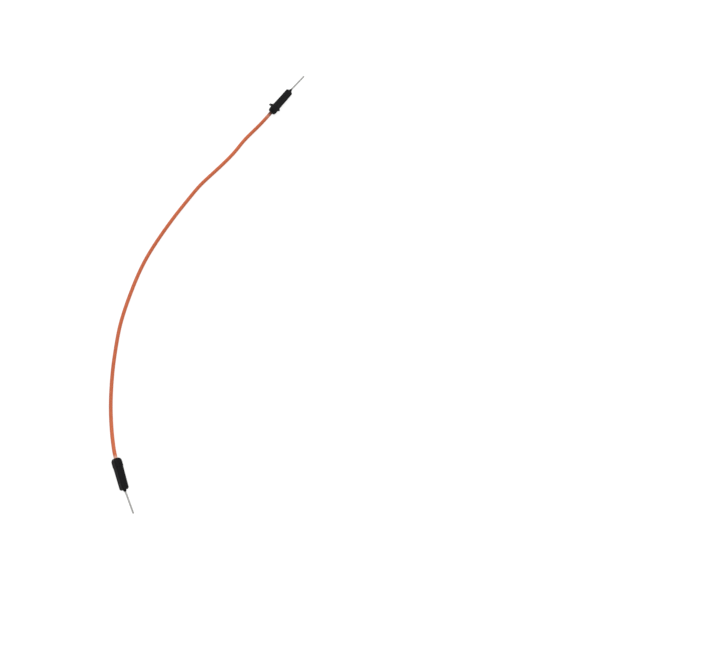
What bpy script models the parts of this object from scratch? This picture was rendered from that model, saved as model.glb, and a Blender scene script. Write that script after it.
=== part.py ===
"""Breadboard jumper wire: a flexible lead with a moulded plug and a bare round pin at each end.

The lead lies on a surface at Z = 0. The origin is the middle of the box around the two plugs,
on that surface. Plug A is at the +Y end and plug B at the -Y end.

Each plug has a frame of its own: +X runs along the plug, from the rear face that the wire enters
to the tip of the pin, and the mould's parting plane is the frame's XY plane. An empty places that
frame, and the pieces of the plug hang on it.

Inside each housing the insulation ends first, then the bare strands enter a crimp sleeve, and the
tail of the pin comes into the same sleeve from the other side.
"""

import math

import bmesh
import bpy
import numpy as np
from mathutils import Euler, Matrix, Vector

MM = 0.001

# Wire
WIRE_DIAMETER = 1.40 * MM
STRAND_DIAMETER = 0.19 * MM
STRANDS_LAID = 6
STRAND_LAY = 18.0 * MM
STRAND_GAP = 0.02 * MM
BUNDLE_CLEARANCE = 0.03 * MM
WIRE_POINT_SPACING = 3.0 * MM

# Housing, outside
HOUSING_LENGTH = 11.9 * MM
REAR_RIM = 0.20 * MM
REAR_FACE_CORNER = 0.70 * MM
SHOULDER_LENGTH = 1.30 * MM
COLLAR_WIDTH = 3.30 * MM
COLLAR_CORNER = 0.60 * MM
COLLAR_LENGTH = 3.15 * MM
COLLAR_STEP_LENGTH = 0.22 * MM
BODY_REAR_WIDTH = 3.02 * MM
BODY_FRONT_WIDTH = 2.90 * MM
BODY_CORNER = 0.55 * MM
FRONT_EDGE = 0.42 * MM
EDGE_ROUND = 0.10 * MM
NUB_LENGTH = 1.10 * MM
NUB_BASE_WALL = 0.31 * MM
NUB_TIP_WALL = 0.07 * MM

# Parting line and the flash that stands on it, one sliver for each (side, distance behind the
# collar's front edge, reach)
PARTING_RIDGE = 0.03 * MM
PARTING_THICKNESS = 0.14 * MM
FLASH_HALF_BASE = 0.60 * MM
FLASH_A = ((1, 0.70 * MM, 0.98 * MM), (-1, 0.30 * MM, 0.36 * MM))
FLASH_B = ((1, 0.65 * MM, 0.15 * MM), (-1, 0.65 * MM, 0.20 * MM))

# Housing, inside
WIRE_GRIP_LENGTH = 4.0 * MM
WIRE_MOUTH = 0.10 * MM
FIT_CLEARANCE = 0.05 * MM
END_CLEARANCE = 0.10 * MM

# Crimp sleeve and the bare strands in it
STRIP_LENGTH = 2.6 * MM
JOINT_GAP = 0.20 * MM
SLEEVE_LENGTH = 3.2 * MM
SLEEVE_WALL = 0.16 * MM

# Pin
PIN_DIAMETER = 0.64 * MM
PIN_LENGTH = 8.2 * MM
PIN_TIP_LENGTH = 0.34 * MM
PIN_TAIL_CHAMFER = 0.06 * MM
PIN_BEND_LENGTH = 0.70 * MM
KEEPER_RISE = 0.14 * MM
KEEPER_LENGTH = 0.60 * MM
KEEPER_SETBACK = 0.60 * MM
KEEPER_SLOPE = 0.12 * MM

# How the lead lies. The straight line from the middle of plug B's rear face to that of plug A's has
# this length, bearing and midpoint, the wire bows out to its left, and the bow lies this far above
# the surface.
LEAD_SPAN = 150.0 * MM
LEAD_BEARING_DEG = 69.3
LEAD_MIDDLE = (-5.75 * MM, 1.55 * MM)
WIRE_BOW = 22.2 * MM
REST_GAP = 0.01 * MM

# How each plug lies: its turn from that line as it points away from the wire, its roll and its
# pin's lean
PLUG_A_TURN_DEG = -16.2
PLUG_A_ROLL_DEG = 21.0
PLUG_A_LEAN_DEG = -2.2
PLUG_B_TURN_DEG = 39.8
PLUG_B_ROLL_DEG = 45.0
PLUG_B_LEAN_DEG = 4.1

# The wire's route from plug A's rear face to plug B's, in shares: of the way along the straight
# line, of the bow to its side, and of the climb from the surface to the nearer plug
ROUTE = (
    (0.0254, 0.0584, 0.759),
    (0.0499, 0.1260, 0.384),
    (0.0728, 0.1926, 0.148),
    (0.1011, 0.2648, 0.030),
    (0.1344, 0.3244, 0.000),
    (0.1769, 0.4228, 0.000),
    (0.2209, 0.5465, 0.000),
    (0.2638, 0.6633, 0.000),
    (0.3060, 0.7432, 0.000),
    (0.3478, 0.8148, 0.000),
    (0.4006, 0.8919, 0.000),
    (0.4456, 0.9454, 0.000),
    (0.4921, 0.9858, 0.000),
    (0.5434, 0.9991, 0.000),
    (0.5925, 0.9846, 0.000),
    (0.6415, 0.9558, 0.000),
    (0.6920, 0.9038, 0.000),
    (0.7440, 0.8144, 0.000),
    (0.7920, 0.7160, 0.000),
    (0.8390, 0.6008, 0.000),
    (0.8869, 0.4640, 0.000),
    (0.9258, 0.3310, 0.085),
    (0.9503, 0.2346, 0.333),
    (0.9767, 0.1192, 0.704),
)

# How finely shapes are cut
SHOULDER_RINGS = 4
PIN_TIP_RINGS = 3
WIRE_BEVEL_RESOLUTION = 2
STRAND_BEVEL_RESOLUTION = 1
PIN_BEVEL_RESOLUTION = 4
ROUTE_SUBSTEPS = 40
SHARP_EDGE_DEG = 25.0

COLOURS = {
    "insulation": ((0.58, 0.16, 0.06), 0.42, 0.0),
    "housing": ((0.012, 0.012, 0.013), 0.50, 0.0),
    "pin": ((0.55, 0.54, 0.52), 0.30, 1.0),
    "sleeve": ((0.56, 0.42, 0.20), 0.35, 1.0),
    "strand": ((0.62, 0.30, 0.17), 0.30, 1.0),
}


def clear_scene():
    """Remove whatever the scene holds."""
    for item in list(bpy.data.objects):
        bpy.data.objects.remove(item, do_unlink=True)


def material(name):
    """Return the named material, made on first use."""
    found = bpy.data.materials.get(name)
    if found:
        return found
    colour, roughness, metallic = COLOURS[name]
    made = bpy.data.materials.new(name)
    made.use_nodes = True
    surface = made.node_tree.nodes["Principled BSDF"]
    surface.inputs["Base Color"].default_value = (*colour, 1.0)
    surface.inputs["Roughness"].default_value = roughness
    surface.inputs["Metallic"].default_value = metallic
    return made


def polygon_radius(radius, sides):
    """Return the corner radius of a polygon that a circle of this radius just fits inside."""
    return radius / math.cos(math.pi / sides)


def bevel_sides(resolution):
    """Return how many sides a curve's round bevel has at this resolution."""
    return 4 + 2 * resolution


# Sizes that follow from the ones above


def lay_radius():
    """Return the distance from the centre strand's axis to a laid strand's axis.

    The strands are drawn with straight steps, and midway along a step they lie closer together by
    the cosine of half the angle that the step turns through.
    """
    crowd = max(1.0, 0.5 / math.sin(math.pi / STRANDS_LAID))
    half_step = math.pi * WIRE_POINT_SPACING / STRAND_LAY
    return (STRAND_DIAMETER + STRAND_GAP) * crowd / math.cos(half_step)


def bundle_radius():
    """Return the radius of the circle that holds all the strands."""
    return lay_radius() + STRAND_DIAMETER / 2


def wire_hole_radius():
    """Return the radius of the hole that a housing grips the insulation in."""
    return WIRE_DIAMETER / 2 + FIT_CLEARANCE


def pin_hole_radius():
    """Return the radius of the hole that a housing holds its pin in."""
    return PIN_DIAMETER / 2 + FIT_CLEARANCE


def keeper_radius():
    """Return the radius of the swaged ring on the pin's tail."""
    return PIN_DIAMETER / 2 + KEEPER_RISE


def wire_bore_radius():
    """Return the corner radius of the insulation's bore."""
    sides = bevel_sides(WIRE_BEVEL_RESOLUTION)
    return polygon_radius(bundle_radius() + BUNDLE_CLEARANCE, sides)


def sleeve_bore_radius():
    """Return the crimp sleeve's bore, which takes the strands and the tail of the pin."""
    return max(bundle_radius() + BUNDLE_CLEARANCE, pin_hole_radius())


def sleeve_radius():
    """Return the crimp sleeve's outer radius."""
    return sleeve_bore_radius() + SLEEVE_WALL


def strand_end():
    """Return the station in a plug at which the bare strands end."""
    return WIRE_GRIP_LENGTH + STRIP_LENGTH


def pin_tail():
    """Return the station in a plug at which the pin's tail begins."""
    return strand_end() + JOINT_GAP


def sleeve_ends():
    """Return the crimp sleeve's two end stations, centred on the joint."""
    joint = strand_end() + JOINT_GAP / 2
    return joint - SLEEVE_LENGTH / 2, joint + SLEEVE_LENGTH / 2


def chamber_front():
    """Return the station at which the housing's crimp chamber ends."""
    return sleeve_ends()[1] + END_CLEARANCE


def keeper_ends():
    """Return the end stations of the swaged ring that keeps the pin in its housing."""
    start = chamber_front() + KEEPER_SETBACK
    return start, start + KEEPER_LENGTH


def nub_tip():
    """Return the station at which the pin leaves its housing."""
    return HOUSING_LENGTH + NUB_LENGTH


# Cross-sections and the meshes lofted through them


def ring_from(station, points):
    """Return a ring of 3-D points: the cross-section's (y, z) points at one station."""
    points = np.asarray(points, dtype=float)
    return np.column_stack([np.full(len(points), station), points])


def square_ring(station, half, corner, left, right):
    """Return a square ring with chamfered, softened corners and a ridge on its parting line.

    left and right are how far the ridge stands out on the +Y and the -Y side.
    """
    soft = min(EDGE_ROUND, corner / 2)
    run = half - corner
    slant = soft * math.sqrt(0.5)
    thick = PARTING_THICKNESS / 2
    quarter = [
        (half, run - soft),
        (half - slant, run + slant),
        (half - corner / 2, half - corner / 2),
        (run + slant, half - slant),
        (run - soft, half),
    ]
    top = [(half + left, 0.0), (half, thick)] + quarter + [(0.0, half)]
    top += [(-y, z) for y, z in reversed(quarter)] + [(-half, thick)]
    bottom = [(-half - right, 0.0), (-half, -thick)] + [(-y, -z) for y, z in quarter] + [(0.0, -half)]
    bottom += [(y, -z) for y, z in reversed(quarter)] + [(half, -thick)]
    return ring_from(station, top + bottom)


def circle_ring(station, radius):
    """Return a ring whose flats lie at the given radius, so that a round piece clears them.

    It has as many points as a square ring, so that one skin runs through both kinds.
    """
    count = len(square_ring(station, COLLAR_WIDTH / 2, COLLAR_CORNER, 0.0, 0.0))
    angles = np.linspace(0.0, 2.0 * math.pi, count, endpoint=False)
    corner = polygon_radius(radius, count)
    return ring_from(station, np.column_stack([np.cos(angles), np.sin(angles)]) * corner)


def lofted_loop(name, rings, slot):
    """Return an object whose skin runs through the rings in turn and back to the first."""
    mesh = bpy.data.meshes.new(name)
    shape = bmesh.new()
    loops = [[shape.verts.new(point) for point in ring] for ring in rings]
    count = len(loops[0])
    for this, following in zip(loops, loops[1:] + loops[:1]):
        for i in range(count):
            j = (i + 1) % count
            shape.faces.new((this[i], this[j], following[j], following[i]))
    bmesh.ops.recalc_face_normals(shape, faces=shape.faces)
    shape.to_mesh(mesh)
    shape.free()
    mesh.shade_smooth()
    mesh.set_sharp_from_angle(angle=math.radians(SHARP_EDGE_DEG))
    mesh.materials.append(material(slot))
    made = bpy.data.objects.new(name, mesh)
    bpy.context.collection.objects.link(made)
    return made


def shoulder_rings():
    """Return (station, half width, corner) along the rounded shoulder at the wire end."""
    rear_half = wire_hole_radius() + WIRE_MOUTH + REAR_RIM
    sizes = []
    for step in range(SHOULDER_RINGS + 1):
        turn = 0.5 * math.pi * step / SHOULDER_RINGS
        share = 1.0 - math.cos(turn)
        half = rear_half + (COLLAR_WIDTH / 2 - rear_half) * math.sin(turn)
        corner = REAR_FACE_CORNER + (COLLAR_CORNER - REAR_FACE_CORNER) * share
        sizes.append((SHOULDER_LENGTH * share, half, corner))
    return sizes


def outer_profile():
    """Return (station, half width, corner) for the outside of a housing, rear to front."""
    profile = shoulder_rings()
    profile.append((COLLAR_LENGTH, COLLAR_WIDTH / 2, COLLAR_CORNER))
    profile.append((COLLAR_LENGTH + COLLAR_STEP_LENGTH, BODY_REAR_WIDTH / 2, BODY_CORNER))
    profile.append((HOUSING_LENGTH - FRONT_EDGE, BODY_FRONT_WIDTH / 2, BODY_CORNER))
    profile.append((HOUSING_LENGTH, BODY_FRONT_WIDTH / 2 - FRONT_EDGE, BODY_CORNER / 2))
    return profile


def ridge_reach(station, side, flash):
    """Return how far the parting ridge stands out at a station on one side."""
    reach = PARTING_RIDGE
    for sliver_side, setback, height in flash:
        if sliver_side == side:
            away = abs(station - (COLLAR_LENGTH - setback))
            reach += height * max(0.0, 1.0 - away / FLASH_HALF_BASE)
    return reach


def outer_rings(flash):
    """Return the rings of a housing's outside, with one at the foot and peak of each sliver."""
    profile = np.array(outer_profile())
    stations = set(profile[:, 0])
    for _, setback, _ in flash:
        peak = COLLAR_LENGTH - setback
        stations.update((peak - FLASH_HALF_BASE, peak, peak + FLASH_HALF_BASE))
    first, last = profile[0, 0], profile[-1, 0]
    rings = []
    for station in sorted(s for s in stations if first <= s <= last):
        half = np.interp(station, profile[:, 0], profile[:, 1])
        corner = np.interp(station, profile[:, 0], profile[:, 2])
        left = ridge_reach(station, 1, flash)
        right = ridge_reach(station, -1, flash)
        rings.append(square_ring(station, half, corner, left, right))
    return rings


def bore_rings():
    """Return the rings of a housing's nub and of its passage, from the front to the wire end."""
    pin_hole = pin_hole_radius()
    pocket = keeper_radius() + FIT_CLEARANCE
    chamber = sleeve_radius() + FIT_CLEARANCE
    wire_hole = wire_hole_radius()
    keeper_rear, keeper_front = keeper_ends()
    grip_end = WIRE_GRIP_LENGTH + END_CLEARANCE
    return [
        circle_ring(HOUSING_LENGTH, pin_hole + NUB_BASE_WALL),
        circle_ring(nub_tip(), pin_hole + NUB_TIP_WALL),
        circle_ring(nub_tip(), pin_hole),
        circle_ring(keeper_front + FIT_CLEARANCE, pin_hole),
        circle_ring(keeper_front + FIT_CLEARANCE, pocket),
        circle_ring(keeper_rear - FIT_CLEARANCE, pocket),
        circle_ring(keeper_rear - FIT_CLEARANCE, pin_hole),
        circle_ring(chamber_front(), pin_hole),
        circle_ring(chamber_front(), chamber),
        circle_ring(grip_end, chamber),
        circle_ring(grip_end, wire_hole),
        circle_ring(WIRE_MOUTH, wire_hole),
        circle_ring(0.0, wire_hole + WIRE_MOUTH),
    ]


def make_housing(name, flash):
    """Return one moulded housing, in its plug's frame."""
    return lofted_loop(name, outer_rings(flash) + bore_rings(), "housing")


def make_sleeve(name):
    """Return one crimp sleeve, a short open tube, in its plug's frame."""
    rear, front = sleeve_ends()
    outer = sleeve_radius()
    inner = sleeve_bore_radius()
    flare = SLEEVE_WALL / 2
    rings = [
        circle_ring(rear, outer),
        circle_ring(front, outer),
        circle_ring(front, inner + flare),
        circle_ring(front - flare, inner),
        circle_ring(rear + flare, inner),
        circle_ring(rear, inner + flare),
    ]
    return lofted_loop(name, rings, "sleeve")


# Round pieces drawn along a line


def drawn_along(name, points, radius, resolution, slot, filled=True, widths=None):
    """Return a curve object: a round bevel along straight steps between the points."""
    curve = bpy.data.curves.new(name, "CURVE")
    curve.dimensions = "3D"
    curve.twist_mode = "Z_UP"
    curve.bevel_depth = radius
    curve.bevel_resolution = resolution
    curve.use_fill_caps = filled
    line = curve.splines.new("POLY")
    line.points.add(len(points) - 1)
    for knot, point in zip(line.points, points):
        knot.co = (*point, 1.0)
    if widths is not None:
        for knot, width in zip(line.points, widths):
            knot.radius = width / radius
    curve.materials.append(material(slot))
    made = bpy.data.objects.new(name, curve)
    bpy.context.collection.objects.link(made)
    return made


def pin_outline():
    """Return (distance along the pin, radius) from the end of its tail to its rounded tip."""
    shank = PIN_DIAMETER / 2
    tail = pin_tail()
    keeper_rear, keeper_front = keeper_ends()
    tip = nub_tip() + PIN_LENGTH
    outline = [
        (tail, shank - PIN_TAIL_CHAMFER),
        (tail + PIN_TAIL_CHAMFER, shank),
        (keeper_rear, shank),
        (keeper_rear + KEEPER_SLOPE, keeper_radius()),
        (keeper_front - KEEPER_SLOPE, keeper_radius()),
        (keeper_front, shank),
        (nub_tip() + FIT_CLEARANCE, shank),
        (nub_tip() + PIN_BEND_LENGTH / 2, shank),
        (nub_tip() + PIN_BEND_LENGTH, shank),
        (tip - PIN_TIP_LENGTH, shank),
    ]
    for step in range(1, PIN_TIP_RINGS + 1):
        turn = 0.5 * math.pi * step / (PIN_TIP_RINGS + 0.5)
        outline.append((tip - PIN_TIP_LENGTH * (1.0 - math.sin(turn)), shank * math.cos(turn)))
    return outline


def make_pin(name, lean_deg):
    """Return one pin, in its plug's frame: straight in the housing, then leaning in plan."""
    bend_start = nub_tip() + FIT_CLEARANCE
    bend_run = PIN_BEND_LENGTH - FIT_CLEARANCE
    points = []
    place = Vector((pin_tail(), 0.0, 0.0))
    before = pin_tail()
    outline = pin_outline()
    for distance, _ in outline:
        middle = (before + distance) / 2
        share = min(max((middle - bend_start) / bend_run, 0.0), 1.0)
        angle = math.radians(lean_deg) * share
        place = place + Vector((math.cos(angle), math.sin(angle), 0.0)) * (distance - before)
        points.append(place)
        before = distance
    widths = [width for _, width in outline]
    return drawn_along(name, points, PIN_DIAMETER / 2, PIN_BEVEL_RESOLUTION, "pin", widths=widths)


# How a plug lies on the surface


def drop(half, corner, roll):
    """Return how far a softened square ring reaches below its axis when rolled."""
    ring = square_ring(0.0, half, corner, PARTING_RIDGE, PARTING_RIDGE)
    return float(np.max(-ring[:, 1] * math.sin(roll) - ring[:, 2] * math.cos(roll)))


def rear_face_place(end):
    """Return where a plug's rear face stands on the surface: end is 1 for plug A, -1 for plug B."""
    bearing = math.radians(LEAD_BEARING_DEG)
    half = end * LEAD_SPAN / 2
    x, y = LEAD_MIDDLE
    return x + half * math.cos(bearing), y + half * math.sin(bearing)


def plug_frame(end, turn_deg, roll_deg):
    """Return the matrix of a plug that rests on its collar's front edge and its own front edge."""
    roll = math.radians(roll_deg)
    front = HOUSING_LENGTH - FRONT_EDGE
    collar_drop = drop(COLLAR_WIDTH / 2, COLLAR_CORNER, roll)
    front_drop = drop(BODY_FRONT_WIDTH / 2, BODY_CORNER, roll)
    tilt = math.atan2(collar_drop - front_drop, front - COLLAR_LENGTH)
    height = COLLAR_LENGTH * math.sin(tilt) + collar_drop * math.cos(tilt)
    away = LEAD_BEARING_DEG if end > 0 else LEAD_BEARING_DEG + 180.0
    turn = Euler((roll, tilt, math.radians(away + turn_deg)), "XYZ")
    return Matrix.LocRotScale(Vector((*rear_face_place(end), height)), turn, None)


def make_plug(letter, frame, roll_deg, lean_deg, flash):
    """Make one plug's pieces and hang them on an empty at its frame."""
    holder = bpy.data.objects.new(f"plug_{letter}_frame", None)
    holder.empty_display_size = COLLAR_WIDTH
    holder.matrix_world = frame
    bpy.context.collection.objects.link(holder)
    pin = make_pin(f"plug_{letter}_pin", lean_deg)
    pin.rotation_euler.x = -math.radians(roll_deg)
    for piece in (
        make_housing(f"plug_{letter}_housing", flash),
        make_sleeve(f"plug_{letter}_crimp_sleeve"),
        pin,
    ):
        piece.parent = holder


# The wire's route


def smooth_route(knots, start_way, end_way, spacing):
    """Return evenly spaced points of a smooth curve through the knots.

    The curve is a cubic spline with given directions at its ends. Its tangents m solve
    h1 m0 + 2 (h0 + h1) m1 + h0 m2 = 3 (h1 d0 + h0 d1), with h the spans and d the slopes.
    """
    knots = np.asarray(knots, dtype=float)
    spans = np.linalg.norm(np.diff(knots, axis=0), axis=1)
    slopes = np.diff(knots, axis=0) / spans[:, None]
    count = len(knots)
    system = np.eye(count)
    target = np.zeros((count, 3))
    target[0] = start_way
    target[-1] = end_way
    for i in range(1, count - 1):
        system[i, i - 1 : i + 2] = (spans[i], 2.0 * (spans[i - 1] + spans[i]), spans[i - 1])
        target[i] = 3.0 * (spans[i] * slopes[i - 1] + spans[i - 1] * slopes[i])
    tangents = np.linalg.solve(system, target)

    share = np.linspace(0.0, 1.0, ROUTE_SUBSTEPS, endpoint=False)[:, None]
    pieces = []
    for i, span in enumerate(spans):
        pieces.append(
            (2 * share**3 - 3 * share**2 + 1) * knots[i]
            + (share**3 - 2 * share**2 + share) * span * tangents[i]
            + (3 * share**2 - 2 * share**3) * knots[i + 1]
            + (share**3 - share**2) * span * tangents[i + 1]
        )
    fine = np.vstack(pieces + [knots[-1:]])
    along = np.concatenate([[0.0], np.cumsum(np.linalg.norm(np.diff(fine, axis=0), axis=1))])
    steps = np.linspace(0.0, along[-1], math.ceil(along[-1] / spacing) + 1)
    return np.column_stack([np.interp(steps, along, fine[:, axis]) for axis in range(3)])


def run_in(frame, start, end):
    """Return points down a plug's axis from one station to another, the first left out."""
    count = math.ceil((end - start) / WIRE_POINT_SPACING)
    stations = np.linspace(start, end, count + 1)[1:]
    return np.array([frame @ Vector((station, 0.0, 0.0)) for station in stations])


def route_knots(start, finish):
    """Return the wire's knots, from the middle of one rear face to that of the other."""
    line = (finish - start)[:2]
    aside = np.array([line[1], -line[0]]) / np.linalg.norm(line)
    lie = WIRE_DIAMETER / 2 + REST_GAP
    knots = [start]
    for along, bow, climb in ROUTE:
        plug_height = start[2] if along < 0.5 else finish[2]
        place = start[:2] + along * line + bow * WIRE_BOW * aside
        knots.append((*place, lie + climb * (plug_height - lie)))
    knots.append(finish)
    return knots


def wire_paths(frame_a, frame_b):
    """Return the insulation's path and the strands' path, from plug A to plug B."""
    knots = route_knots(np.array(frame_a.translation), np.array(frame_b.translation))
    leave = -frame_a.col[0].to_3d()
    arrive = frame_b.col[0].to_3d()
    middle = smooth_route(knots, leave[:], arrive[:], WIRE_POINT_SPACING)
    grip_a = run_in(frame_a, 0.0, WIRE_GRIP_LENGTH)[::-1]
    grip_b = run_in(frame_b, 0.0, WIRE_GRIP_LENGTH)
    sleeved = np.vstack([grip_a, middle, grip_b])
    bare_a = run_in(frame_a, WIRE_GRIP_LENGTH, strand_end())[::-1]
    bare_b = run_in(frame_b, WIRE_GRIP_LENGTH, strand_end())
    return sleeved, np.vstack([bare_a, sleeved, bare_b])


def laid_path(path, number):
    """Return a laid strand's path: a helix of the lay's radius around the wire's path."""
    steps = np.linalg.norm(np.diff(path, axis=0), axis=1)
    along = np.concatenate([[0.0], np.cumsum(steps)])
    ways = np.gradient(path, axis=0)
    ways /= np.linalg.norm(ways, axis=1)[:, None]
    across = np.cross((0.0, 0.0, 1.0), ways)
    across /= np.linalg.norm(across, axis=1)[:, None]
    upward = np.cross(ways, across)
    turn = 2.0 * math.pi * (along / STRAND_LAY + number / STRANDS_LAID)
    offset = np.cos(turn)[:, None] * across + np.sin(turn)[:, None] * upward
    return path + lay_radius() * offset


def make_wire(frame_a, frame_b):
    """Make the insulation, the centre strand and the strands laid around it."""
    sleeved, bare = wire_paths(frame_a, frame_b)
    insulation = drawn_along(
        "wire_insulation", sleeved, WIRE_DIAMETER / 2, WIRE_BEVEL_RESOLUTION, "insulation", filled=False
    )
    wall = insulation.modifiers.new("Wall", "SOLIDIFY")
    wall.thickness = WIRE_DIAMETER / 2 - wire_bore_radius()
    wall.offset = -1.0
    size = STRAND_DIAMETER / 2
    drawn_along("wire_strand_centre", bare, size, STRAND_BEVEL_RESOLUTION, "strand")
    for number in range(STRANDS_LAID):
        path = laid_path(bare, number)
        drawn_along(f"wire_strand_{number + 1}", path, size, STRAND_BEVEL_RESOLUTION, "strand")


def main():
    """Build the jumper wire."""
    clear_scene()
    frame_a = plug_frame(1, PLUG_A_TURN_DEG, PLUG_A_ROLL_DEG)
    frame_b = plug_frame(-1, PLUG_B_TURN_DEG, PLUG_B_ROLL_DEG)
    make_plug("a", frame_a, PLUG_A_ROLL_DEG, PLUG_A_LEAN_DEG, FLASH_A)
    make_plug("b", frame_b, PLUG_B_ROLL_DEG, PLUG_B_LEAN_DEG, FLASH_B)
    make_wire(frame_a, frame_b)


main()
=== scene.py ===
"""Looks of a breadboard jumper wire: a moulded plug with a bare pin at each end of an orange lead.

All places are in metres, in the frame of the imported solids. The lead lies on the surface Z = 0,
plug A at its +Y end and plug B at its -Y end. Each plug also has a frame of its own, whose +X axis
runs from the rear face that the wire enters to the tip of the pin, and whose XY plane is the plane
in which the two halves of the mould meet.
"""

import logging
import math
from dataclasses import dataclass, field
from enum import Enum
from typing import Any, Callable

import bpy
import numpy as np
from bpy.types import ID, Material, NodeSocket, Object
from mathutils import Euler, Matrix, Vector


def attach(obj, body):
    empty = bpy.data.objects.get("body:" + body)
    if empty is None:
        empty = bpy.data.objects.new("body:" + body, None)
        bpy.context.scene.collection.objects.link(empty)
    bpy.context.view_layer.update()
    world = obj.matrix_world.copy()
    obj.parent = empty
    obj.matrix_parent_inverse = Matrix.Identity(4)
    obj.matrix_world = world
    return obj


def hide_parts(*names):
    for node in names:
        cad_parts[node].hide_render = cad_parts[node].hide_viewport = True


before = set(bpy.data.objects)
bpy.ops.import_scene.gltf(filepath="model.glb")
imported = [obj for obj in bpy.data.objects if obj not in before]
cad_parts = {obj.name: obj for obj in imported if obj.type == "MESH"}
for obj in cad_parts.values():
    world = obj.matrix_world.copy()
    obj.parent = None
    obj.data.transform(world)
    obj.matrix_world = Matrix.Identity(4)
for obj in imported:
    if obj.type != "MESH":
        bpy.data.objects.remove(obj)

MM = 0.001
SHARP_DEG = 38.0
LOG = logging.getLogger("jumper_lead")
Array = np.ndarray
Triple = tuple[float, float, float]
Pair = tuple[float, float]


class End(Enum):
    """Which end of the lead a plug is on, as its sign along the line from plug B to plug A."""

    A = 1
    B = -1

    @property
    def letter(self) -> str:
        """The end's letter in the names of pieces."""
        return self.name.lower()


class Side(Enum):
    """A side of a plug, as the sign of its Y coordinate in the plug's frame."""

    LEFT = 1
    RIGHT = -1


# Shader arithmetic


def both_ways(operation: str) -> tuple[Callable[..., "Signal"], Callable[..., "Signal"]]:
    """Return an operator's two methods, plain and reflected; each adds a Math node."""
    return (
        lambda self, other: self.math(operation, self, other),
        lambda self, other: self.math(operation, other, self),
    )


class Signal:
    """An output socket of a material's node tree. Arithmetic on a number adds Math nodes."""

    def __init__(self, tree: "ShaderTree", socket: NodeSocket) -> None:
        """Wrap a socket of a tree."""
        self.tree = tree
        self.socket = socket

    def math(self, operation: str, *values: "Signal | float") -> "Signal":
        """Return the Math node's result for these values, taken in order."""
        return self.tree.add("ShaderNodeMath", {"operation": operation}, dict(enumerate(values)))

    __add__, __radd__ = both_ways("ADD")
    __sub__, __rsub__ = both_ways("SUBTRACT")
    __mul__, __rmul__ = both_ways("MULTIPLY")
    __pow__, __rpow__ = both_ways("POWER")

    def __abs__(self) -> "Signal":
        """Return the absolute value."""
        return self.math("ABSOLUTE", self)

    def clipped(self) -> "Signal":
        """Return the value kept between 0 and 1."""
        return self.math("MINIMUM", self.math("MAXIMUM", self, 0.0), 1.0)

    def ramp(self, low: float, high: float) -> "Signal":
        """Return a smooth step that is 0 at low and 1 at high.

        Args:
            low: the value at which the step starts; it may be above high.
            high: the value at which the step is complete.

        Returns:
            3 t^2 - 2 t^3, with t the value's share of the way from low to high, kept in 0..1.
        """
        ends = (low, high, 0.0, 1.0) if low < high else (high, low, 1.0, 0.0)
        values = dict(zip(("From Min", "From Max", "To Min", "To Max"), ends))
        settings = {"interpolation_type": "SMOOTHSTEP"}
        return self.tree.add("ShaderNodeMapRange", settings, {"Value": self, **values})


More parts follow.
